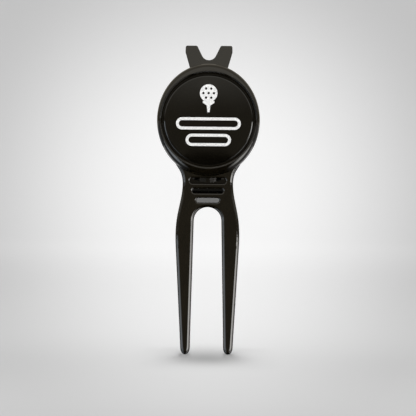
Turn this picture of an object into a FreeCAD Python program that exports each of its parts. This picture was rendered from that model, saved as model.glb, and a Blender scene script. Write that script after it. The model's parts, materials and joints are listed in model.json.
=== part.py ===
import FreeCAD, Part
import math
import os

# A golfer's divot repair tool with a magnetic ball marker and a spring clip. Sizes are in millimetres.
# The tool stands on its prong tips at z = 0, with the head and the thumb tab up (+Z).
# The marker looks along -Y, the clip is behind (+Y), and x = 0 is the plane of symmetry.

# Sizes that drive the rest
MARKER_RADIUS = 12.5
HEAD_Z = 65.4
HEAD_HALF_WIDTH = 14.3
HEAD_HALF_HEIGHT = 15.7
BLADE_THICKNESS = 3.2
HEAD_RISE = 2.0
NECK_HALF_WIDTH = 7.02
BELLY_HALF_WIDTH = 8.9
ARCH_RADIUS = 3.84
ARCH_Z = 37.2
TIP_HALF_WIDTH = 1.34
TIP_HEIGHT = 1.9
TIP_X = 5.97
TIP_FULLNESS = 0.6
PIN_RADIUS = 1.0
CLIP_THICKNESS = 1.7
CLIP_HALF_WIDTH = 5.6
CLIP_TOP_Z = 86.2
CLIP_BOTTOM_Z = 41.9

# Fits and edge roundings
MARKER_CLEARANCE = 0.3
BEVEL_WIDTH = 0.75
RUNNING_CLEARANCE = 0.05
SIDE_CLEARANCE = 0.3
FRONT_ROUNDING = 0.8
BACK_ROUNDING = 0.8
SLOT_ROUNDING = 0.38
CLIP_ROUNDING = 0.4
ENAMEL_ROUNDING = 0.45

# How far the middle of the head's oval lies below the middle of the marker's ring
HEAD_DROP = 0.17

# The depth by which joined pieces run into each other
OVERLAP = 0.5

# Levels from front to back
BLADE_FRONT = -BLADE_THICKNESS / 2
BLADE_BACK = BLADE_THICKNESS / 2
CREST_FRONT = BLADE_FRONT - HEAD_RISE
RECESS_FLOOR = -1.5
MARKER_BACK = RECESS_FLOOR - RUNNING_CLEARANCE
ENAMEL_BACK = -2.5
ENAMEL_EDGE = -3.25
DOME_HEIGHT = 0.35
PRINT_BACK = ENAMEL_EDGE + 0.1
PRINT_PROUD = 0.03
MAGNET_RADIUS = 5.0
MAGNET_THICKNESS = 1.8
MAGNET_FRONT = RECESS_FLOOR + 0.1
PIN_Y = BLADE_BACK + 3.0
PIN_Z = HEAD_Z + 0.6
CLIP_INNER_Y = PIN_Y + 2.4
JAW_Y = BLADE_BACK + 0.05

# The clip seen from the side, by where it bends, and how far its tab leans back
TAB_BEND_Z = PIN_Z + 11.0
TONGUE_BEND_Z = PIN_Z - 6.0
JAW_BEND_Z = PIN_Z - 12.0
TAB_LEAN = 3.1

# The clip seen from the front: its tongue, its waist, its two ears and the notch between them
TONGUE_HALF_WIDTH = 5.2
WAIST_HALF_WIDTH = 5.1
EAR_HALF_WIDTH = 6.6
EAR_INNER_X = 4.35
NOTCH_DEPTH = 6.9

# The clip's lip, which curls back from the tongue as a lead-in
LIP_DROP = 2.4
LIP_REACH = 6.0

# The jaw pad: how far it stands off the plate, its crown, its rounded lower end
PAD_HEIGHT = 1.6
PAD_CROWN = 7.0
PAD_END_RADIUS = 9.5
PAD_BOTTOM_Z = 47.85
PAD_TOP_Z = PIN_Z - 10.8

# The marker hangs a hair low in its seat, and the print on it
MARKER_Z = HEAD_Z - 0.1
BALL_RADIUS = 2.45
BALL_Z = MARKER_Z + 7.5
DIMPLE_RADIUS = 0.34
DIMPLE_CIRCLE = 1.45
TEE_BOTTOM_Z = MARKER_Z + 2.2
FIELD_HEIGHT = 3.4
FIELD_LINE = 0.8
UPPER_FIELD = (MARKER_Z - 0.95, 9.0)
LOWER_FIELD = (MARKER_Z - 5.5, 6.3)

# The neck's three vent slots: height of the middle, half length, height of the opening
NECK_SLOTS = [(48.44, 5.02, 1.55), (45.62, 4.3, 1.36), (42.95, 3.17, 1.33)]

# The hinge from the middle outwards: spring, clip knuckles, body lugs
SPRING_HALF_WIDTH = 2.6
KNUCKLE_INNER_X = 3.2
KNUCKLE_OUTER_X = 5.6
LUG_INNER_X = KNUCKLE_OUTER_X + SIDE_CLEARANCE
LUG_OUTER_X = LUG_INNER_X + 2.2
LUG_RADIUS = 2.5
KNUCKLE_RADIUS = 2.3
WIRE_RADIUS = 0.35
COIL_RADIUS = 1.75
SPRING_TURNS = 4.5


def vec(x, y, z):
    return FreeCAD.Vector(x, y, z)


def line(start, end):
    return Part.LineSegment(start, end).toShape()


def arc(start, middle, end):
    return Part.Arc(start, middle, end).toShape()


def mirrored(shape):
    return shape.mirror(vec(0, 0, 0), vec(1, 0, 0))


def wire_of(edges):
    return Part.Wire(Part.__sortEdges__(edges))


def along_y(wire, front, back):
    """A flat outline in the XZ plane, made solid from one level to another."""
    face = Part.Face(wire)
    face.translate(vec(0, front - face.BoundBox.YMin, 0))
    return face.extrude(vec(0, back - front, 0))


def disc(radius, front, back, z):
    return Part.makeCylinder(radius, back - front, vec(0, front, z), vec(0, 1, 0))


def rod(radius, left, right, y, z):
    return Part.makeCylinder(radius, right - left, vec(left, y, z), vec(1, 0, 0))


def block(left, right, front, back, bottom, top):
    return Part.makeBox(right - left, back - front, top - bottom, vec(left, front, bottom))


def edges_at_level(shape, y, keep):
    """The edges that lie in the plane at this y and that keep() accepts."""
    flat = []
    for edge in shape.Edges:
        box = edge.BoundBox
        if abs(box.YMin - y) < 1e-3 and abs(box.YMax - y) < 1e-3 and keep(box):
            flat.append(edge)
    return flat


def tangent_normal(start, end, reach):
    """The unit normal n of the line for which (end - start) . n equals reach."""
    apart = end - start
    angle = math.atan2(apart.z, apart.x) + math.acos(reach / apart.Length)
    return vec(math.cos(angle), 0, math.sin(angle))


def down_to_ground(upper, lower):
    """Where the line from the upper point through the lower one meets z = 0."""
    return lower + (lower - upper) * (lower.z / (upper.z - lower.z))


def oval_quarter(start, corner, end):
    """A quarter of an oval, touching at its ends the lines that run to the corner."""
    curve = Part.BezierCurve()
    curve.setPoles(
        [start, start + (corner - start) * TIP_FULLNESS, end + (corner - end) * TIP_FULLNESS, end]
    )
    return curve.toShape()


def prong_edges():
    """The right half of the fork's outline, from inside the head down to the tip and up to the arch."""
    flank_points = [
        vec(9.8, 0, 54.2),
        vec(8.42, 0, 52.06),
        vec(7.6, 0, 50.67),
        vec(NECK_HALF_WIDTH, 0, 47.05),
        vec(7.55, 0, 43.0),
        vec(8.57, 0, 37.85),
        vec(BELLY_HALF_WIDTH, 0, 33.2),
        vec(8.79, 0, 29.5),
    ]
    arch = vec(0, 0, ARCH_Z)
    outer_corner = vec(TIP_X + TIP_HALF_WIDTH, 0, TIP_HEIGHT)
    inner_corner = vec(TIP_X - TIP_HALF_WIDTH, 0, TIP_HEIGHT)
    arch_touch = arch + tangent_normal(arch, inner_corner, ARCH_RADIUS) * ARCH_RADIUS
    flank = Part.BSplineCurve()
    flank.interpolate(
        Points=flank_points,
        InitialTangent=flank_points[1] - flank_points[0],
        FinalTangent=outer_corner - flank_points[-1],
    )
    tip = vec(TIP_X, 0, 0)
    outer_foot = down_to_ground(flank_points[-1], outer_corner)
    inner_foot = down_to_ground(arch_touch, inner_corner)
    arch_middle = arch + vec(math.cos(math.radians(50)), 0, math.sin(math.radians(50))) * ARCH_RADIUS
    return [
        flank.toShape(),
        line(flank_points[-1], outer_corner),
        oval_quarter(outer_corner, outer_foot, tip),
        oval_quarter(tip, inner_foot, inner_corner),
        line(inner_corner, arch_touch),
        arc(arch_touch, arch_middle, arch + vec(0, 0, ARCH_RADIUS)),
    ]


def blade():
    """The neck and the two prongs, with rounded front and back edges."""
    right = prong_edges()
    left = [mirrored(edge) for edge in right]
    top = max(vertex.Z for vertex in right[0].Vertexes)
    corner = vec(max(vertex.X for vertex in right[0].Vertexes), 0, top)
    closing = line(corner, vec(-corner.x, 0, top))
    plate = along_y(wire_of(right + left + [closing]), BLADE_FRONT, BLADE_BACK)
    plate = plate.makeFillet(
        FRONT_ROUNDING, edges_at_level(plate, BLADE_FRONT, lambda box: box.ZMin < top - 0.1)
    )
    return plate.makeFillet(
        BACK_ROUNDING, edges_at_level(plate, BLADE_BACK, lambda box: box.ZMin < top - 0.1)
    )


def oval(y, middle_z, half_width, half_height):
    middle = vec(0, y, middle_z)
    ellipse = Part.Ellipse(middle + vec(0, 0, half_height), middle + vec(half_width, 0, 0), middle)
    return Part.Wire(ellipse.toShape())


def head():
    """The egg-shaped head, swelling forward to the round crest of the marker's ring."""
    crest_radius = MARKER_RADIUS + MARKER_CLEARANCE + BEVEL_WIDTH + 0.05
    base_level = BLADE_FRONT + 0.6
    shoulder_level = CREST_FRONT + 0.8
    shoulder_half_width = HEAD_HALF_WIDTH - 0.2
    shoulder_half_height = HEAD_HALF_HEIGHT - 0.8
    base = oval(base_level, HEAD_Z - HEAD_DROP, HEAD_HALF_WIDTH, HEAD_HALF_HEIGHT)
    plate = along_y(base, base_level, BLADE_BACK)
    plate = plate.makeFillet(BACK_ROUNDING, edges_at_level(plate, BLADE_BACK, lambda box: True))
    swell = Part.makeLoft(
        [
            base,
            oval(shoulder_level, HEAD_Z - HEAD_DROP / 2, shoulder_half_width, shoulder_half_height),
            oval(CREST_FRONT, HEAD_Z, crest_radius, crest_radius + 1e-4),
        ],
        True,
        False,
    )
    return plate.fuse(swell)


def recess():
    """What is cut from the head: the marker's seat, its bevelled mouth and the magnet's pocket."""
    wall_radius = MARKER_RADIUS + MARKER_CLEARANCE
    seat = disc(wall_radius, CREST_FRONT - 1, RECESS_FLOOR, HEAD_Z)
    mouth = Part.makeCone(
        wall_radius + BEVEL_WIDTH, wall_radius, BEVEL_WIDTH, vec(0, CREST_FRONT, HEAD_Z), vec(0, 1, 0)
    )
    pocket = disc(MAGNET_RADIUS, RECESS_FLOOR - 1, MAGNET_FRONT + MAGNET_THICKNESS, HEAD_Z)
    return seat.fuse(mouth).fuse(pocket)


def long_round(z, half_length, height, front, back):
    """A flat bar with round ends, as wide as two half lengths."""
    radius = height / 2
    straight = half_length - radius
    edges = [
        line(vec(-straight, 0, z + radius), vec(straight, 0, z + radius)),
        arc(vec(straight, 0, z + radius), vec(half_length, 0, z), vec(straight, 0, z - radius)),
        line(vec(straight, 0, z - radius), vec(-straight, 0, z - radius)),
        arc(vec(-straight, 0, z - radius), vec(-half_length, 0, z), vec(-straight, 0, z + radius)),
    ]
    return along_y(wire_of(edges), front, back)


def lug(left, right, radius):
    """An ear on the back of the head that carries the hinge pin."""
    root = block(left, right, BLADE_BACK - OVERLAP, PIN_Y, PIN_Z - radius, PIN_Z + radius)
    return root.fuse(rod(radius, left, right, PIN_Y, PIN_Z))


def slotted(body, slot):
    """The body with one vent slot cut through the neck, its front rim rounded."""
    z, half_length, height = slot
    body = body.cut(long_round(z, half_length, height, BLADE_FRONT - 1, BLADE_BACK + 1))

    def is_rim(box):
        reach = max(abs(box.XMin), abs(box.XMax), abs(box.ZMin - z), abs(box.ZMax - z))
        return reach < half_length + 0.01 and abs(box.Center.z - z) < height

    return body.makeFillet(SLOT_ROUNDING, edges_at_level(body, BLADE_FRONT, is_rim))


def fork_body():
    """The casting: prongs, neck and head, with the slots, the marker's seat and the hinge lugs."""
    body = blade().fuse(head())
    body = body.cut(recess())
    for slot in NECK_SLOTS:
        body = slotted(body, slot)
    for left, right in [(LUG_INNER_X, LUG_OUTER_X), (-LUG_OUTER_X, -LUG_INNER_X)]:
        body = body.fuse(lug(left, right, LUG_RADIUS))
    return body.cut(rod(PIN_RADIUS, -LUG_OUTER_X - 1, LUG_OUTER_X + 1, PIN_Y, PIN_Z))


def magnet():
    return disc(MAGNET_RADIUS, MAGNET_FRONT, MAGNET_FRONT + MAGNET_THICKNESS, HEAD_Z)


def rounded_path(corners, radii):
    """Straight edges joined by tangent arcs: every corner but the first and last has its radius."""
    edges = []
    start = corners[0]
    for index, radius in enumerate(radii, start=1):
        corner = corners[index]
        back = (corners[index - 1] - corner).normalize()
        ahead = (corners[index + 1] - corner).normalize()
        half_angle = back.getAngle(ahead) / 2
        reach = radius / math.tan(half_angle)
        inward = (back + ahead).normalize()
        centre = corner + inward * (radius / math.sin(half_angle))
        edges.append(line(start, corner + back * reach))
        edges.append(arc(corner + back * reach, centre - inward * radius, corner + ahead * reach))
        start = corner + ahead * reach
    edges.append(line(start, corners[-1]))
    return edges


def beside(corners, radii, distance):
    """The same path in the YZ plane moved over towards +Y, with the bends' radii to suit."""
    steps = [(after - before).normalize() for before, after in zip(corners, corners[1:])]
    normals = [vec(0, -step.z, step.y) for step in steps]
    moved = [corners[0] + normals[0] * distance]
    moved_radii = []
    for index, radius in enumerate(radii, start=1):
        before, after = normals[index - 1], normals[index]
        moved.append(corners[index] + (before + after) * (distance / (1 + before.dot(after))))
        turns_this_way = steps[index - 1].cross(steps[index]).x > 0
        moved_radii.append(radius - distance if turns_this_way else radius + distance)
    moved.append(corners[-1] + normals[-1] * distance)
    return moved, moved_radii


def clip_skins():
    """The plate's inner and outer faces as paths seen from the side, from the thumb tab to the lip."""
    inner = [
        vec(0, CLIP_INNER_Y + TAB_LEAN, CLIP_TOP_Z),
        vec(0, CLIP_INNER_Y, TAB_BEND_Z),
        vec(0, CLIP_INNER_Y, TONGUE_BEND_Z),
        vec(0, JAW_Y + PAD_HEIGHT, JAW_BEND_Z),
        vec(0, JAW_Y + PAD_HEIGHT, CLIP_BOTTOM_Z + LIP_DROP),
        vec(0, JAW_Y + PAD_HEIGHT + LIP_REACH, CLIP_BOTTOM_Z),
    ]
    radii = [6.0, 5.0, 5.0, 2.6]
    outer, outer_radii = beside(inner, radii, CLIP_THICKNESS)
    return rounded_path(inner, radii), rounded_path(outer, outer_radii)


def clip_front():
    """The plate seen from the front: two flared ears round a notch, above a tongue."""
    ear_top = CLIP_TOP_Z + 2.0
    below = CLIP_BOTTOM_Z - 2.0
    right = [
        (vec(TONGUE_HALF_WIDTH, 0, below), 0.5),
        (vec(CLIP_HALF_WIDTH, 0, TONGUE_BEND_Z), 10.0),
        (vec(CLIP_HALF_WIDTH, 0, TAB_BEND_Z - 3.0), 8.0),
        (vec(WAIST_HALF_WIDTH, 0, TAB_BEND_Z + 2.0), 3.0),
        (vec(EAR_HALF_WIDTH, 0, CLIP_TOP_Z - 2.0), 2.0),
        (vec(EAR_HALF_WIDTH - 0.1, 0, ear_top), 0.5),
        (vec(EAR_INNER_X, 0, ear_top), 0.5),
    ]
    notch = (vec(0, 0, CLIP_TOP_Z - NOTCH_DEPTH), 2.15)
    left = [(vec(-corner.x, 0, corner.z), radius) for corner, radius in reversed(right)]
    rounded = right + [notch] + left
    bottom = vec(0, 0, below)
    corners = [bottom] + [corner for corner, radius in rounded] + [bottom]
    return wire_of(rounded_path(corners, [radius for corner, radius in rounded]))


def clip_plate():
    """The bent plate cut to its outline, with rounded ears and rims."""
    across = vec(20, 0, 0)
    inner, outer = clip_skins()
    ends = [
        line(inner[0].Vertexes[0].Point, outer[0].Vertexes[0].Point),
        line(inner[-1].Vertexes[-1].Point, outer[-1].Vertexes[-1].Point),
    ]
    side = Part.Face(wire_of(inner + outer + ends))
    skins = Part.Compound([edge.extrude(across) for edge in inner + outer])
    side.translate(-across / 2)
    skins.translate(-across / 2)
    plate = along_y(clip_front(), 0, 20).common(side.extrude(across)).Solids[0]

    def on_skin(edge):
        middle = edge.valueAt((edge.FirstParameter + edge.LastParameter) / 2)
        return skins.distToShape(Part.Vertex(middle))[0] < 1e-3

    def is_ear_corner(edge):
        return edge.BoundBox.ZMax > CLIP_TOP_Z - 0.01 and not on_skin(edge)

    def is_lip_corner(edge):
        return edge.BoundBox.ZMin < CLIP_BOTTOM_Z + 0.01 and not on_skin(edge)

    def is_rim(edge):
        box = edge.BoundBox
        lip_end = box.YMin > JAW_Y + PAD_HEIGHT + LIP_REACH - 0.01 and box.ZMax < JAW_BEND_Z
        near_end = box.ZMax > CLIP_TOP_Z - 0.6 or lip_end
        bend_line = box.ZLength < 0.01 and not near_end
        return on_skin(edge) and not bend_line

    plate = plate.makeFillet(0.5, [edge for edge in plate.Edges if is_ear_corner(edge)])
    plate = plate.makeFillet(1.5, [edge for edge in plate.Edges if is_lip_corner(edge)])
    return plate.makeFillet(CLIP_ROUNDING, [edge for edge in plate.Edges if is_rim(edge)])


def jaw_pad():
    """The raised, crowned pad on the tongue that presses on the back of the neck."""
    below = PAD_BOTTOM_Z - 1
    crown = Part.makeCylinder(PAD_CROWN, PAD_TOP_Z - below, vec(0, JAW_Y + PAD_CROWN, below))
    round_end = disc(PAD_END_RADIUS, JAW_Y - 1, JAW_Y + PAD_HEIGHT + 0.4, PAD_BOTTOM_Z + PAD_END_RADIUS)
    return crown.common(round_end)


def knuckle(left, right):
    """An eye on the inner face of the clip that turns on the hinge pin."""
    bottom, top = PIN_Z - KNUCKLE_RADIUS, PIN_Z + KNUCKLE_RADIUS
    web = block(left, right, PIN_Y, CLIP_INNER_Y + OVERLAP, bottom, top)
    return web.fuse(rod(KNUCKLE_RADIUS, left, right, PIN_Y, PIN_Z))


def clip_lever():
    lever = clip_plate().fuse(jaw_pad())
    for left, right in [(KNUCKLE_INNER_X, KNUCKLE_OUTER_X), (-KNUCKLE_OUTER_X, -KNUCKLE_INNER_X)]:
        lever = lever.fuse(knuckle(left, right))
    bore = rod(PIN_RADIUS + RUNNING_CLEARANCE, -CLIP_HALF_WIDTH - 1, CLIP_HALF_WIDTH + 1, PIN_Y, PIN_Z)
    return lever.cut(bore)


def hinge_pin():
    """A plain pin with chamfered ends, pressed into both lugs and a little proud of them."""
    reach = LUG_OUTER_X + 0.2
    pin = rod(PIN_RADIUS, -reach, reach, PIN_Y, PIN_Z)
    rims = [edge for edge in pin.Edges if edge.BoundBox.XLength < 0.01]
    return pin.makeChamfer(0.2, rims)


def torsion_spring():
    """A coil round the pin; one leg bears on the head's back, the other on the clip, both upwards."""
    pitch = 2 * (SPRING_HALF_WIDTH - WIRE_RADIUS) / SPRING_TURNS
    coil = Part.makeHelix(pitch, pitch * SPRING_TURNS, COIL_RADIUS)
    coil.rotate(vec(0, 0, 0), vec(0, 1, 0), 90)
    coil.rotate(vec(0, 0, 0), vec(1, 0, 0), -90)
    end_x = pitch * SPRING_TURNS / 2
    coil.translate(vec(-end_x, PIN_Y, PIN_Z))
    front_foot = vec(-end_x, BLADE_BACK + WIRE_RADIUS, PIN_Z + 6.5)
    front_root = vec(-end_x, PIN_Y - COIL_RADIUS, PIN_Z)
    back_root = vec(end_x, PIN_Y + COIL_RADIUS, PIN_Z)
    back_foot = vec(end_x, CLIP_INNER_Y - WIRE_RADIUS, PIN_Z + 7.0)
    path = Part.Wire([line(front_foot, front_root)] + coil.Edges + [line(back_root, back_foot)])
    section = Part.Wire(Part.makeCircle(WIRE_RADIUS, front_foot, front_root - front_foot))
    return path.makePipeShell([section], True, True)


def marker_base():
    """The steel coin that the magnet holds."""
    coin = disc(MARKER_RADIUS, ENAMEL_BACK, MARKER_BACK, MARKER_Z)
    return coin.makeChamfer(0.2, edges_at_level(coin, MARKER_BACK, lambda box: True))


def enamel_dome():
    """The enamel face: a slice of a large ball, with a rounded rim."""
    ball_radius = (MARKER_RADIUS**2 + DOME_HEIGHT**2) / (2 * DOME_HEIGHT)
    ball = Part.makeSphere(ball_radius, vec(0, ENAMEL_EDGE - DOME_HEIGHT + ball_radius, MARKER_Z))
    dome = disc(MARKER_RADIUS, ENAMEL_EDGE - 1, ENAMEL_BACK, MARKER_Z).common(ball)
    return dome.makeFillet(ENAMEL_ROUNDING, edges_at_level(dome, ENAMEL_EDGE, lambda box: True))


def emblem_plan(front, back):
    """A dimpled golf ball on its tee."""
    plan = disc(BALL_RADIUS, front, back, BALL_Z)
    plan = plan.cut(disc(DIMPLE_RADIUS, front - 1, back + 1, BALL_Z))
    for turn in range(6):
        angle = math.radians(60 * turn)
        dimple = disc(DIMPLE_RADIUS, front - 1, back + 1, BALL_Z + DIMPLE_CIRCLE * math.sin(angle))
        dimple.translate(vec(DIMPLE_CIRCLE * math.cos(angle), 0, 0))
        plan = plan.cut(dimple)
    cup_radius, stem_radius, point_radius = 1.6, 0.5, 0.3
    cup_top = BALL_Z - BALL_RADIUS + 0.3
    cup_bottom = cup_top - 0.55
    stem_top = cup_top - 1.3
    right = [
        (cup_radius, cup_top),
        (cup_radius, cup_bottom),
        (stem_radius, stem_top),
        (point_radius, TEE_BOTTOM_Z),
    ]
    left = [(-x, z) for x, z in reversed(right)]
    tee = [vec(x, 0, z) for x, z in right + left + right[:1]]
    return plan.fuse(along_y(Part.makePolygon(tee), front, back))


def field_plan(field, front, back):
    """The outline of a blank long-round field."""
    z, half_length = field
    outside = long_round(z, half_length, FIELD_HEIGHT, front, back)
    inside = long_round(
        z, half_length - FIELD_LINE, FIELD_HEIGHT - 2 * FIELD_LINE, front - 1, back + 1
    )
    return outside.cut(inside)


def print_plans():
    """The three printed pieces, deeper than the print so that they cut and trim cleanly."""
    front = ENAMEL_EDGE - 1
    return [
        emblem_plan(front, PRINT_BACK),
        field_plan(UPPER_FIELD, front, PRINT_BACK),
        field_plan(LOWER_FIELD, front, PRINT_BACK),
    ]


def marker_enamel():
    face = enamel_dome()
    for plan in print_plans():
        face = face.cut(plan)
    return face


def printed(plan):
    """Silver print, let into the enamel and standing a hair proud of it."""
    raised = enamel_dome()
    raised.translate(vec(0, -PRINT_PROUD, 0))
    return raised.common(plan)


def marker_emblem():
    return printed(print_plans()[0])


def marker_upper_field():
    return printed(print_plans()[1])


def marker_lower_field():
    return printed(print_plans()[2])


MAKERS = [
    fork_body,
    magnet,
    marker_base,
    marker_enamel,
    marker_emblem,
    marker_upper_field,
    marker_lower_field,
    clip_lever,
    hinge_pin,
    torsion_spring,
]

os.makedirs("parts", exist_ok=True)
for maker in MAKERS:
    shape = maker()
    solid = shape.Solids[0]
    print(maker.__name__, solid.isValid(), len(shape.Solids), round(solid.Volume, 2))
    solid.exportStep("parts/" + maker.__name__ + ".step")
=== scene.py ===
import json
import math

import bpy
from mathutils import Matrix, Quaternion, Vector


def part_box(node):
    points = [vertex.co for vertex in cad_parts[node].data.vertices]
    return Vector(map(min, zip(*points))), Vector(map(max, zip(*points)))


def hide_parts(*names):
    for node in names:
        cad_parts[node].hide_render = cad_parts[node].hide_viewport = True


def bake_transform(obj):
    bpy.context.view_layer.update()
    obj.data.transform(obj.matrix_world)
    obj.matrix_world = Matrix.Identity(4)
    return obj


MM = 0.001
PAINT_IOR = 1.5
CAMERA_DISTANCE = 1.2
CAMERA_ELEVATION = math.radians(1.5)
CAMERA_ROLL = math.radians(0.515)
SENSOR_WIDTH = 36.0
PICTURE_WIDTH = 115.9 * MM
PICTURE_MIDDLE = 40.8 * MM
PICTURE_SHIFT = 0.1 * MM
WIRE_RADIUS = 0.35 * MM
SPRING_TURNS = 4.5
STEPS_PER_TURN = 40
COIL_GAP = 0.75 * MM
WHITE = (1.0, 1.0, 1.0)
BLACK = (0.0, 0.0, 0.0)

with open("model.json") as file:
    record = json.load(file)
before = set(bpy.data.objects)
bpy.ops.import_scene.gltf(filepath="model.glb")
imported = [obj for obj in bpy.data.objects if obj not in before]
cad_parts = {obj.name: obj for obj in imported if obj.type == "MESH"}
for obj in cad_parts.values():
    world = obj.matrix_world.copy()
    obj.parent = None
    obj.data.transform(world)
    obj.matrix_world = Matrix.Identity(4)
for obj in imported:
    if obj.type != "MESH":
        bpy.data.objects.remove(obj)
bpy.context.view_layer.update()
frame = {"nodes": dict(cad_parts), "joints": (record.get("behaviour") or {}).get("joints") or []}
nodes = frame["nodes"]
hinge = next(joint for joint in frame["joints"] if joint["name"] == "clip_hinge")
body_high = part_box("fork_body")[1]
spring_low, spring_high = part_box("torsion_spring")
pin_low, pin_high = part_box("hinge_pin")


def grey(tone):
    return (tone, tone, tone)


# Materials


class Nodes:
    """Short ways to add the nodes that every shader here is made of."""

    def __init__(self, tree):
        self.tree = tree

    def feed(self, socket, value):
        """Links a socket to another node's output, or gives it a fixed number or colour."""
        if isinstance(value, bpy.types.NodeSocket):
            self.tree.links.new(value, socket)
        elif socket.type == "RGBA":
            socket.default_value = (*value, 1.0)
        else:
            socket.default_value = value

    def node(self, kind, **inputs):
        made = self.tree.nodes.new(kind)
        for key, value in inputs.items():
            self.feed(made.inputs[key.replace("_", " ")], value)
        return made

    def span(self, value, band, to_low, to_high):
        """Runs smoothly from to_low to to_high as the value crosses the band."""
        low, high = band
        made = self.node("ShaderNodeMapRange", Value=value)
        made.interpolation_type = "SMOOTHSTEP"
        made.inputs["From Min"].default_value = low
        made.inputs["From Max"].default_value = high
        made.inputs["To Min"].default_value = to_low
        made.inputs["To Max"].default_value = to_high
        return made.outputs["Result"]

    def past(self, value, band):
        """0 at the band's first end and 1 at its second."""
        return self.span(value, band, 0.0, 1.0)

    def before(self, value, band):
        """1 at the band's first end and 0 at its second."""
        return self.span(value, band, 1.0, 0.0)

    def math(self, operation, first, second, clamp=True):
        made = self.tree.nodes.new("ShaderNodeMath")
        made.operation = operation
        made.use_clamp = clamp
        self.feed(made.inputs[0], first)
        self.feed(made.inputs[1], second)
        return made.outputs["Value"]

    def product(self, first, *others):
        """The product of shares that all lie between 0 and 1."""
        for other in others:
            first = self.math("MULTIPLY", first, other)
        return first

    def mix(self, share, first, second):
        """A colour between the first and the second."""
        made = self.tree.nodes.new("ShaderNodeMix")
        made.data_type = "RGBA"
        sockets = [made.inputs[0], made.inputs[6], made.inputs[7]]
        for socket, value in zip(sockets, (share, first, second)):
            self.feed(socket, value)
        return made.outputs[2]

    def vector_math(self, operation, first, second=None):
        made = self.tree.nodes.new("ShaderNodeVectorMath")
        made.operation = operation
        self.feed(made.inputs[0], first)
        if second is not None:
            self.feed(made.inputs[1], second)
        return made

    def tinted(self, colour, strength):
        """A colour made brighter or darker by a strength."""
        made = self.vector_math("SCALE", colour)
        self.feed(made.inputs["Scale"], strength)
        return made.outputs["Vector"]

    def length(self, vector):
        return self.vector_math("LENGTH", vector).outputs["Value"]

    def total(self, first, second):
        return self.vector_math("ADD", first, second).outputs["Vector"]


class Shader(Nodes):
    """A Principled material built from procedural textures."""

    def __init__(self, name):
        self.material = bpy.data.materials.new(name)
        self.material.use_nodes = True
        super().__init__(self.material.node_tree)
        self.surface = self.tree.nodes["Principled BSDF"]
        self.place = self.tree.nodes.new("ShaderNodeTexCoord").outputs["Object"]

    def mapped(self, scale, shift=(0.0, 0.0, 0.0)):
        mapping = self.node("ShaderNodeMapping", Vector=self.place)
        mapping.inputs["Location"].default_value = shift
        mapping.inputs["Scale"].default_value = scale
        return mapping.outputs["Vector"]

    def noise(self, scale, detail=3.0, roughness=0.5, place=None):
        made = self.node(
            "ShaderNodeTexNoise",
            Vector=place or self.place,
            Scale=scale,
            Detail=detail,
            Roughness=roughness,
        )
        return made.outputs["Fac"]

    def edges(self, radius):
        """Near 1 on sharp edges and near 0 on flats, broken up with noise as wear is."""
        bevel = self.node("ShaderNodeBevel", Radius=radius)
        bevel.samples = 4
        geometry = self.tree.nodes.new("ShaderNodeNewGeometry")
        turn = self.vector_math("DOT_PRODUCT", bevel.outputs["Normal"], geometry.outputs["Normal"])
        sharp = self.past(turn.outputs["Value"], (0.99, 0.9))
        patches = self.past(self.noise(scale=900.0, detail=4.0, roughness=0.6), (0.52, 0.66))
        return self.product(sharp, patches)

    def bump(self, height, distance, strength=1.0, under=None):
        made = self.node("ShaderNodeBump", Height=height, Distance=distance, Strength=strength)
        if under is not None:
            self.feed(made.inputs["Normal"], under)
        return made.outputs["Normal"]

    def finish(self, **values):
        for key, value in values.items():
            self.feed(self.surface.inputs[key.replace("_", " ")], value)
        return self.material


def gloss_black_paint(name):
    """Gloss black lacquer over cast zinc: orange peel, faint dust and rubbed edges."""
    shader = Shader(name)
    dark, light, rubbed = (0.003, 0.0023, 0.0012), (0.0044, 0.0034, 0.0018), (0.09, 0.085, 0.08)
    cloud = shader.noise(scale=120.0, detail=4.0)
    tone = shader.mix(shader.past(cloud, (0.35, 0.65)), dark, light)
    worn = shader.product(shader.edges(0.12 * MM), 0.35)
    tone = shader.mix(worn, tone, rubbed)
    streaks = shader.mapped((1.0, 1.0, 0.25))
    smear = shader.noise(scale=260.0, detail=5.0, roughness=0.6, place=streaks)
    roughness = shader.span(smear, (0.3, 0.7), 0.04, 0.08)
    peel = shader.noise(scale=1400.0, detail=1.0)
    surface = shader.bump(peel, distance=0.0025 * MM, strength=0.5)
    dust = shader.noise(scale=9000.0, detail=2.0)
    surface = shader.bump(dust, distance=0.001 * MM, strength=0.3, under=surface)
    return shader.finish(Base_Color=tone, Roughness=roughness, Normal=surface, IOR=PAINT_IOR)


def gloss_enamel():
    """The marker's face: deep black enamel, smoother than the lacquer, with hairline scratches."""
    shader = Shader("enamel_black")
    dark, light = (0.0016, 0.0013, 0.0008), (0.0024, 0.002, 0.0013)
    cloud = shader.noise(scale=90.0)
    tone = shader.mix(shader.past(cloud, (0.35, 0.65)), dark, light)
    hair = shader.noise(scale=500.0, detail=2.0, place=shader.mapped((0.15, 1.0, 6.0)))
    smear = shader.noise(scale=300.0, detail=4.0)
    roughness = shader.span(smear, (0.3, 0.7), 0.015, 0.035)
    scratches = shader.bump(hair, distance=0.0015 * MM, strength=0.3)
    return shader.finish(Base_Color=tone, Roughness=roughness, Normal=scratches, IOR=PAINT_IOR)


def silver_print():
    """Silver-white ink with a fine grain and a slightly uneven coat."""
    shader = Shader("print_silver")
    grain = shader.noise(scale=2500.0)
    tone = shader.mix(shader.past(grain, (0.3, 0.7)), grey(0.5), (0.68, 0.68, 0.67))
    roughness = shader.span(grain, (0.3, 0.7), 0.42, 0.55)
    surface = shader.bump(grain, distance=0.004 * MM, strength=0.4)
    return shader.finish(Base_Color=tone, Roughness=roughness, Normal=surface, Metallic=0.0)


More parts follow.
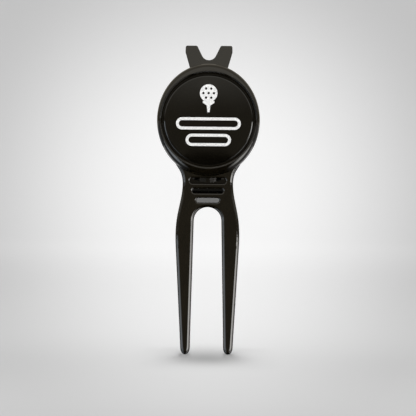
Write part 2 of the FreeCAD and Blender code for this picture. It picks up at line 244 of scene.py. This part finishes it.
def bare_steel(name, dark, light, smoothest, roughest, grain_scale=(1, 1, 1)):
    """Plated or turned steel, with drawn grain, dull patches and rubbed edges."""
    shader = Shader(name)
    rubbed = (0.82, 0.81, 0.8)
    along = shader.mapped(grain_scale)
    grain = shader.noise(scale=1200.0, detail=4.0, roughness=0.6, place=along)
    tone = shader.mix(shader.past(grain, (0.3, 0.7)), dark, light)
    worn = shader.product(shader.edges(0.1 * MM), 0.5)
    tone = shader.mix(worn, tone, rubbed)
    patches = shader.noise(scale=200.0)
    roughness = shader.span(patches, (0.3, 0.7), smoothest, roughest)
    surface = shader.bump(grain, distance=0.002 * MM, strength=0.5)
    return shader.finish(Base_Color=tone, Roughness=roughness, Normal=surface, Metallic=1.0)


def coin_plate():
    return bare_steel("coin_plate", (0.42, 0.42, 0.43), (0.6, 0.6, 0.61), 0.25, 0.38)


def magnet_plate():
    return bare_steel("magnet_plate", grey(0.36), (0.5, 0.49, 0.48), 0.16, 0.3)


def turned_pin():
    """The grain is drawn out along the pin."""
    dark, light = (0.36, 0.36, 0.37), (0.56, 0.56, 0.57)
    return bare_steel("pin_turned", dark, light, 0.24, 0.4, (0.1, 1, 1))


def spring_steel():
    return bare_steel("spring_steel", (0.3, 0.3, 0.31), (0.5, 0.5, 0.51), 0.2, 0.34)


def dress(obj, material):
    obj.data.materials.clear()
    obj.data.materials.append(material)


dress(nodes["fork_body"], gloss_black_paint("body_black"))
dress(nodes["clip_lever"], gloss_black_paint("clip_black"))
dress(nodes["marker_enamel"], gloss_enamel())
silver = silver_print()
for name in ("marker_emblem", "marker_upper_field", "marker_lower_field"):
    dress(nodes[name], silver)
dress(nodes["marker_base"], coin_plate())
dress(nodes["magnet"], magnet_plate())
dress(nodes["hinge_pin"], turned_pin())


# The spring, drawn again as a wire


def spring_points():
    """The wire's centre line: down the front leg, round the coil, up the back leg."""
    pivot = Vector(hinge["pos_m"])
    left = spring_low.x + WIRE_RADIUS
    right = spring_high.x - WIRE_RADIUS
    front = spring_low.y + WIRE_RADIUS
    back = spring_high.y - WIRE_RADIUS
    pin_radius = (pin_high.z - pin_low.z) / 2
    coil_radius = pin_radius + COIL_GAP
    back_leg_top = spring_high.z - 0.1 * MM
    front_leg_top = back_leg_top - 0.5 * MM
    steps = int(SPRING_TURNS * STEPS_PER_TURN)
    points = [Vector((left, front, front_leg_top))]
    for step in range(steps + 1):
        share = step / steps
        angle = 2 * math.pi * SPRING_TURNS * share
        across = left + (right - left) * share
        depth = pivot.y - coil_radius * math.cos(angle)
        height = pivot.z - coil_radius * math.sin(angle)
        points.append(Vector((across, depth, height)))
    points.append(Vector((right, back, back_leg_top)))
    return points


def wire_curve(points):
    curve = bpy.data.curves.new("spring_wire", "CURVE")
    curve.dimensions = "3D"
    curve.bevel_depth = WIRE_RADIUS
    curve.bevel_resolution = 4
    curve.use_fill_caps = True
    line = curve.splines.new("POLY")
    line.points.add(len(points) - 1)
    for target, point in zip(line.points, points):
        target.co = (*point, 1.0)
    return curve


def make_spring():
    """The wire as a mesh, in place of the spring part from model.glb, which is hidden."""
    drawn = bpy.data.objects.new("spring_curve", wire_curve(spring_points()))
    bpy.context.scene.collection.objects.link(drawn)
    mesh = bpy.data.meshes.new_from_object(
        drawn.evaluated_get(bpy.context.evaluated_depsgraph_get())
    )
    bpy.data.objects.remove(drawn)
    spring = bpy.data.objects.new("torsion_spring_wire", mesh)
    bpy.context.scene.collection.objects.link(spring)
    mesh.shade_smooth()
    dress(spring, spring_steel())
    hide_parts("torsion_spring")
    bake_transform(spring)
    return spring


spring_wire = make_spring()


# Surroundings


def slope_from_middle(shader, parts):
    """How far a place on the paper lies from a point a little above the middle of the view, as
    a slope seen from the camera's place."""
    lift = 0.004
    eye_height = PICTURE_MIDDLE + CAMERA_DISTANCE * math.sin(CAMERA_ELEVATION)
    depth = shader.math("ADD", parts.outputs["Y"], CAMERA_DISTANCE, clamp=False)
    rise = shader.math("SUBTRACT", parts.outputs["Z"], eye_height, clamp=False)
    rise = shader.math("DIVIDE", rise, depth, clamp=False)
    rise = shader.math("ADD", rise, math.sin(CAMERA_ELEVATION) - lift, clamp=False)
    side = shader.math("DIVIDE", parts.outputs["X"], depth, clamp=False)
    spread = shader.node("ShaderNodeCombineXYZ", X=side, Y=rise)
    return shader.length(spread.outputs["Vector"])


def paper_glow(shader):
    """Painted light on the paper: a glow brightest behind the tool and darker all round it, and a
    painted shadow in an oval patch under the tips.
    """
    parts = shader.node("ShaderNodeSeparateXYZ", Vector=shader.place)
    reach = slope_from_middle(shader, parts)
    fall = shader.past(reach, (0.012, 0.064))
    outside = shader.past(reach, (0.075, 0.3))
    in_front = shader.span(parts.outputs["Y"], (-0.25, 0.0), 0.16, 0.0)
    near_tone = shader.mix(fall, grey(0.37), BLACK)
    near_tone = shader.total(near_tone, shader.tinted(WHITE, in_front))
    near_tone = shader.mix(outside, near_tone, grey(0.14))
    far_tone = shader.mix(fall, grey(0.74), grey(0.36))
    far_tone = shader.mix(outside, far_tone, grey(0.5))
    ground = shader.node("ShaderNodeCombineXYZ", X=parts.outputs["X"], Y=parts.outputs["Y"])
    away = shader.past(shader.length(ground.outputs["Vector"]), (0.15, 0.9))
    tone = shader.mix(away, near_tone, far_tone)
    # Painted shadow: an oval under the tips, a little in front of them, where the paper's glow is
    # darkened to black at the middle as the tool's shadow would darken it.
    painted_shadow_place = shader.mapped((62.0, 21.0, 0.0), shift=(0.0, 0.4, 0.0))
    out_of_painted_shadow = shader.past(shader.length(painted_shadow_place), (0.0, 1.0))
    return shader.mix(out_of_painted_shadow, BLACK, tone)


def backdrop_material():
    """Pale paper with a glow of its own."""
    shader = Shader("backdrop_paper")
    fibres = shader.bump(shader.noise(scale=800.0), distance=0.02 * MM, strength=0.1)
    return shader.finish(
        Base_Color=grey(0.4),
        Roughness=1.0,
        Specular_IOR_Level=0.0,
        Normal=fibres,
        Emission_Color=paper_glow(shader),
        Emission_Strength=1.0,
    )


def add_mesh(name, points, faces, material):
    mesh = bpy.data.meshes.new(name)
    mesh.from_pydata(points, [], faces)
    mesh.shade_smooth()
    mesh.materials.append(material)
    obj = bpy.data.objects.new(name, mesh)
    bpy.context.scene.collection.objects.link(obj)
    return obj


def bowl_profile():
    """Radius and height of each ring: a flat floor that curves up into a wall."""
    floor_radius = 1.0
    wall_radius = 1.4
    wall_top = 1.2
    floor_rings = 8
    bends = 16
    curve_radius = wall_radius - floor_radius
    profile = [(floor_radius * ring / floor_rings, 0.0) for ring in range(1, floor_rings + 1)]
    for bend in range(1, bends + 1):
        angle = math.pi / 2 * bend / bends
        radius = floor_radius + curve_radius * math.sin(angle)
        height = curve_radius * (1 - math.cos(angle))
        profile.append((radius, height))
    profile.append((wall_radius, wall_top))
    return profile


def make_backdrop():
    """A bowl of paper all round, unseen in the gloss."""
    sides = 96
    profile = bowl_profile()
    points = [(0.0, 0.0, 0.0)]
    for radius, height in profile:
        for side in range(sides):
            angle = 2 * math.pi * side / sides
            points.append((radius * math.cos(angle), radius * math.sin(angle), height))
    faces = [(0, 1 + side, 1 + (side + 1) % sides) for side in range(sides)]
    for ring in range(len(profile) - 1):
        for side in range(sides):
            here = 1 + ring * sides
            after = (side + 1) % sides
            faces.append((here + side, here + sides + side, here + sides + after, here + after))
    backdrop = add_mesh("backdrop", points, faces, backdrop_material())
    backdrop.visible_glossy = False


def make_card():
    """A white card that lies behind the tool and shows only in its gloss."""
    half_width = 0.12
    near = 0.05
    far = 0.4
    height = 0.2 * MM
    shader = Shader("card_white")
    cloud = shader.span(shader.noise(scale=30.0, detail=2.0), (0.3, 0.7), 0.9, 1.0)
    tone = shader.mix(cloud, grey(0.5), grey(0.6))
    material = shader.finish(Base_Color=tone, Emission_Color=tone, Emission_Strength=0.25)
    points = [
        (-half_width, near, height),
        (half_width, near, height),
        (half_width, far, height),
        (-half_width, far, height),
    ]
    card = add_mesh("card", points, [(0, 1, 2, 3)], material)
    card.visible_camera = False
    card.visible_diffuse = False
    card.visible_shadow = False


def add_light(name, place, target, size, radiance):
    """A flat lamp of an even brightness that doesn't show in the gloss."""
    width, height = size
    data = bpy.data.lights.new(name, "AREA")
    data.shape = "RECTANGLE"
    data.size = width
    data.size_y = height
    data.energy = math.pi * width * height * radiance
    data.color = WHITE
    light = bpy.data.objects.new(name, data)
    light.location = place
    light.rotation_euler = (Vector(target) - Vector(place)).to_track_quat("-Z", "Y").to_euler()
    light.visible_camera = False
    light.visible_glossy = False
    bpy.context.scene.collection.objects.link(light)
    return light


def light_only_the_tool(light):
    """Keeps a lamp off the paper."""
    lit = bpy.data.collections.new("lit_by_" + light.name)
    for piece in [*nodes.values(), spring_wire]:
        lit.objects.link(piece)
    light.light_linking.receiver_collection = lit


def make_lights():
    """A long strip overhead that makes the shadow, and a soft fill from the front."""
    middle = (0, 0, body_high.z / 2)
    add_light("overhead", (0, 0.1, 0.5), (0, 0.1, 0), size=(0.06, 0.6), radiance=33.0)
    fill = add_light("front_fill", (0, -0.9, 0.5), middle, size=(0.8, 0.4), radiance=9.0)
    light_only_the_tool(fill)


def room_light(sky, ahead, rise):
    """Dim walls under a white ceiling that is brightest in front, and black far below."""
    wall_foot = (-0.105, -0.085)
    ceiling_edge = (0.0, 0.2)
    front_to_back = (-0.3, 0.3)
    walls = sky.span(rise, wall_foot, 0.0, 0.2)
    ceiling = sky.product(
        sky.span(rise, ceiling_edge, 0.0, 0.85), sky.span(ahead, front_to_back, 1.0, 0.2)
    )
    return sky.total(sky.tinted((1.0, 0.88, 0.66), walls), sky.tinted((1.0, 0.98, 0.9), ceiling))


def table_light(sky, across, ahead, rise):
    """A low pale table on each side in front: the right one warm and bright, the left one cool
    and dimmer. Out to the sides they reach further down."""
    deep_edge = (-0.25, -0.15)
    top_edge = (-0.05, -0.02)
    inner_edge = (0.13, 0.2)
    back_edge = (-0.35, -0.1)
    side_start = (-0.7, -0.5)
    side_edge = (0.35, 0.6)
    left_to_right = (-0.05, 0.05)
    front_to_side = (-0.85, -0.55)
    aside = sky.math("ABSOLUTE", across, 0.0)
    sides = sky.product(sky.past(ahead, side_start), sky.past(aside, side_edge))
    tables = sky.math("MAXIMUM", sky.past(rise, deep_edge), sides)
    tables = sky.product(
        tables,
        sky.before(rise, top_edge),
        sky.past(aside, inner_edge),
        sky.span(ahead, back_edge, 1.0, 0.08),
    )
    right = sky.product(tables, sky.past(across, left_to_right))
    right = sky.math("MULTIPLY", right, sky.span(ahead, front_to_side, 9.0, 5.0), clamp=False)
    left = sky.product(tables, sky.before(across, left_to_right))
    left = sky.math("MULTIPLY", left, sky.span(ahead, front_to_side, 2.2, 3.4), clamp=False)
    return sky.total(sky.tinted((1.0, 0.98, 0.95), right), sky.tinted((0.86, 0.93, 1.0), left))


def make_world():
    """The studio as the gloss sees it: a brightness for each direction."""
    world = bpy.data.worlds.new("studio")
    world.use_nodes = True
    sky = Nodes(world.node_tree)
    direction = sky.tree.nodes.new("ShaderNodeTexCoord").outputs["Generated"]
    parts = sky.node("ShaderNodeSeparateXYZ", Vector=direction)
    across, ahead, rise = (parts.outputs[axis] for axis in "XYZ")
    colour = sky.total(room_light(sky, ahead, rise), table_light(sky, across, ahead, rise))
    sky.feed(sky.tree.nodes["Background"].inputs["Color"], colour)
    world.cycles_visibility.diffuse = False
    bpy.context.scene.world = world


def make_camera():
    """A long lens, nearly level, square on to the marker."""
    target = Vector((PICTURE_SHIFT, 0.0, PICTURE_MIDDLE))
    data = bpy.data.cameras.new("camera")
    data.sensor_width = SENSOR_WIDTH
    data.lens = SENSOR_WIDTH * CAMERA_DISTANCE / PICTURE_WIDTH
    camera = bpy.data.objects.new("camera", data)
    back = Vector((0, -math.cos(CAMERA_ELEVATION), math.sin(CAMERA_ELEVATION)))
    camera.location = target + back * CAMERA_DISTANCE
    camera.rotation_mode = "QUATERNION"
    level = (-back).to_track_quat("-Z", "Y")
    camera.rotation_quaternion = Quaternion(-back, -CAMERA_ROLL) @ level
    bpy.context.scene.collection.objects.link(camera)
    bpy.context.scene.camera = camera


make_backdrop()
make_card()
make_lights()
make_world()
make_camera()
bpy.context.scene.view_settings.view_transform = "Standard"
